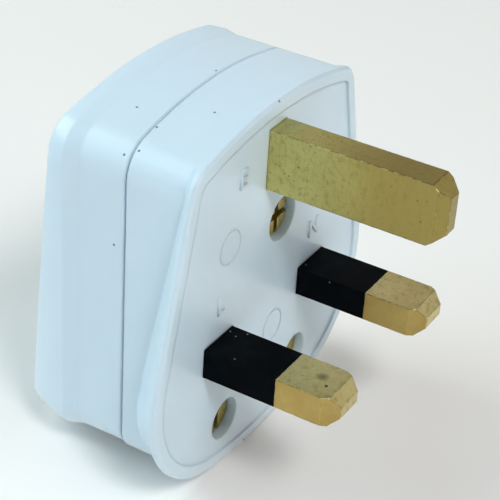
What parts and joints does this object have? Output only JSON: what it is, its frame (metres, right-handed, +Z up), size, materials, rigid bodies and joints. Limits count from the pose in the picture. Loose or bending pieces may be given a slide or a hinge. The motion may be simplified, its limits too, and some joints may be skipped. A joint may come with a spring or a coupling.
{
  "type": "uk three pin plug",
  "caption": "Rewireable white mains plug: screwed mouldings with flat brass pins, black part sleeves on live and neutral, and a fuse, screw terminals and a cord grip inside.",
  "frame": {"origin": "on the flat panel of the engagement face, midway between the live and neutral pins", "axes": "-Y points out of the engagement face along the pins, +Z points up to the earth pin and +X to the right seen from in front of the pins"},
  "size_m": [0.0498, 0.0481, 0.0486],
  "materials": {
    "white_moulding": "glossy moulded white plastic",
    "pin_brass": "drawn brass, lightly tarnished",
    "screw_brass": "machined brass",
    "black_sleeve": "smooth black plastic",
    "fibre": "matte fibre board",
    "fuse_ceramic": "unglazed ceramic",
    "fuse_wire": "drawn wire",
    "fuse_cap_nickel": "nickel plate",
    "clip_metal": "tinned spring strip"
  },
  "bodies": {
    "root": {"base": "white_moulding", "cover": "white_moulding", "earth_pin": "pin_brass", "neutral_pin": "pin_brass", "live_pin": "pin_brass", "neutral_pin_sleeve": "black_sleeve", "live_pin_sleeve": "black_sleeve", "live_terminal": "pin_brass", "earth_terminal_screw": "screw_brass", "neutral_terminal_screw": "screw_brass", "live_terminal_screw": "screw_brass", "cover_screw": "screw_brass", "cover_screw_washer": "fibre", "cover_screw_insert": "screw_brass", "cord_grip_screw_left": "screw_brass", "cord_grip_screw_right": "screw_brass", "cord_grip_nut_left": "screw_brass", "cord_grip_nut_right": "screw_brass", "cord_grip_bar": "fibre", "fuse_tube": "fuse_ceramic", "fuse_element": "fuse_wire", "fuse_cap_pin_side": "fuse_cap_nickel", "fuse_cap_terminal_side": "fuse_cap_nickel", "fuse_clip_pin_side": "clip_metal", "fuse_clip_terminal_side": "clip_metal", "clip_rivet_pin_side": "screw_brass", "clip_rivet_terminal_side": "screw_brass"}
  },
  "joints": []
}
